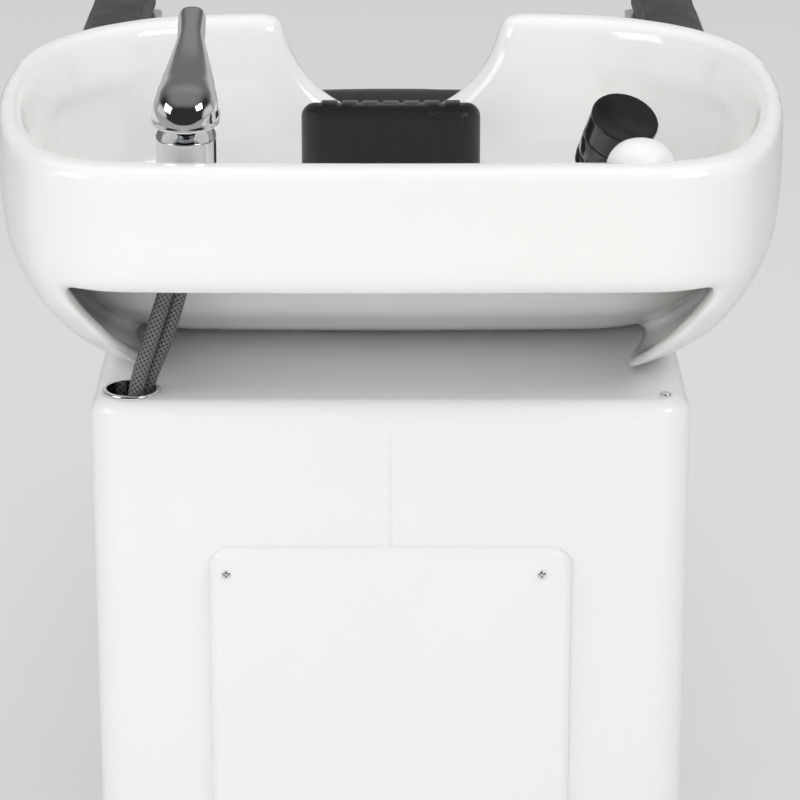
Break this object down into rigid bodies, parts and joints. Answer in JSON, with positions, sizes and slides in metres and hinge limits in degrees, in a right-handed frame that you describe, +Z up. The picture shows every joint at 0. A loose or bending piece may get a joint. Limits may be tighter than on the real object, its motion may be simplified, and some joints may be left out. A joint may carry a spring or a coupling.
{
  "type": "hair washing bed",
  "caption": "Reclining hair washing couch with a tilting ceramic basin on a white cabinet, mixer tap, pull-out handset, head support and padded armrests.",
  "frame": {"origin": "floor level, in the middle of the whole object's length and width", "axes": "+Z up, +Y from the basin to the foot end, +X across, to the right of someone at the basin end who faces the foot end"},
  "size_m": [0.692, 1.79, 0.9974],
  "materials": {
    "cabinet_gelcoat": "glossy white moulded shell",
    "basin_glaze": "white vitreous glaze",
    "chrome": "polished",
    "steel_black": "satin black powder coat",
    "steel_zinc": "zinc plated",
    "armrest_metal": "satin anodised",
    "upholstery": "dark warm grey leatherette",
    "board_ply": "birch plywood",
    "support_foam": "black moulded integral foam",
    "black_gloss": "glossy black",
    "black_plastic": "matte black",
    "white_plastic": "glossy white",
    "rubber_black": "matte",
    "hose_braid": "grey black woven braid over rubber",
    "brass": "plain"
  },
  "bodies": {
    "couch_and_base": {"access_panel": "cabinet_gelcoat", "armrest_bases": "armrest_metal", "armrest_outriggers": "steel_black", "armrest_pads": "upholstery", "armrest_uprights": "steel_black", "back_board": "board_ply", "back_cushion": "upholstery", "back_side_tubes": "steel_black", "base_cabinet": "cabinet_gelcoat", "basin_bumpers": "rubber_black", "basin_hinge_bolts": "steel_zinc", "basin_hinge_brackets": "steel_zinc", "basin_hinge_shaft": "steel_zinc", "board_screws": "steel_zinc", "cold_supply_hose": "hose_braid", "couch_cross_tubes": "steel_black", "couch_posts": "steel_black", "floor_cross_tubes": "steel_black", "floor_rails": "steel_black", "hose_grommet": "chrome", "hose_nuts": "chrome", "hot_supply_hose": "hose_braid", "leg_board": "board_ply", "leg_cushion": "upholstery", "levelling_pads": "black_plastic", "levelling_studs": "steel_zinc", "panel_screws": "chrome", "pedestal_posts": "steel_black", "pedestal_top_plate": "steel_black", "seat_board": "board_ply", "seat_cushion": "upholstery", "seat_side_tubes": "steel_black", "shelf_screw": "chrome", "stop_valves": "brass", "valve_bracket": "steel_zinc"},
    "basin_unit": {"basin": "basin_glaze", "basin_hinge_plate": "steel_zinc", "basin_plate_screws": "steel_zinc", "drain_flange": "chrome", "drain_gasket": "rubber_black", "drain_nut": "white_plastic", "trap_body": "white_plastic", "trap_cup": "white_plastic", "tap_base_ring": "chrome", "tap_body": "chrome", "deck_nuts": "brass", "shower_dock_bush": "black_plastic", "shower_rest_dome": "basin_glaze", "head_support_plate": "steel_zinc", "head_support_post": "steel_zinc", "hose_ferrules": "chrome"},
    "tap_swivel": {"tap_stem": "steel_zinc", "tap_lever_pin": "steel_zinc"},
    "lever": {"tap_lever": "chrome"},
    "handset": {"shower_head": "black_gloss", "shower_head_rim": "black_gloss", "shower_spray_plate": "black_plastic", "shower_handle": "black_gloss"},
    "head_pad": {"head_support_pad": "support_foam"},
    "strainer": {"hair_strainer": "chrome"}
  },
  "joints": [
    {"name": "basin_tilt", "type": "hinge", "parent": "couch_and_base", "child": "basin_unit", "pos_m": [0, -0.395, 0.735], "axis": [-1, 0, 0], "range_deg": [0, 8], "deforming": ["cold_supply_hose", "hot_supply_hose"]},
    {"name": "tap_turn", "type": "hinge", "parent": "basin_unit", "child": "tap_swivel", "pos_m": [-0.156, -0.807, 0.925], "axis": [0, 0, 1], "range_deg": [-45, 45]},
    {"name": "lever_lift", "type": "hinge", "parent": "tap_swivel", "child": "lever", "pos_m": [-0.156, -0.807, 0.934], "axis": [1, 0, 0], "range_deg": [0, 18]},
    {"name": "handset_lift", "type": "slide", "parent": "basin_unit", "child": "handset", "axis": [0, 0, 1], "range_m": [0, 0.13]},
    {"name": "head_pad_lift", "type": "slide", "parent": "basin_unit", "child": "head_pad", "axis": [0, 0, 1], "range_m": [0, 0.06]},
    {"name": "strainer_lift", "type": "slide", "parent": "basin_unit", "child": "strainer", "axis": [0, 0, 1], "range_m": [0, 0.06]}
  ]
}
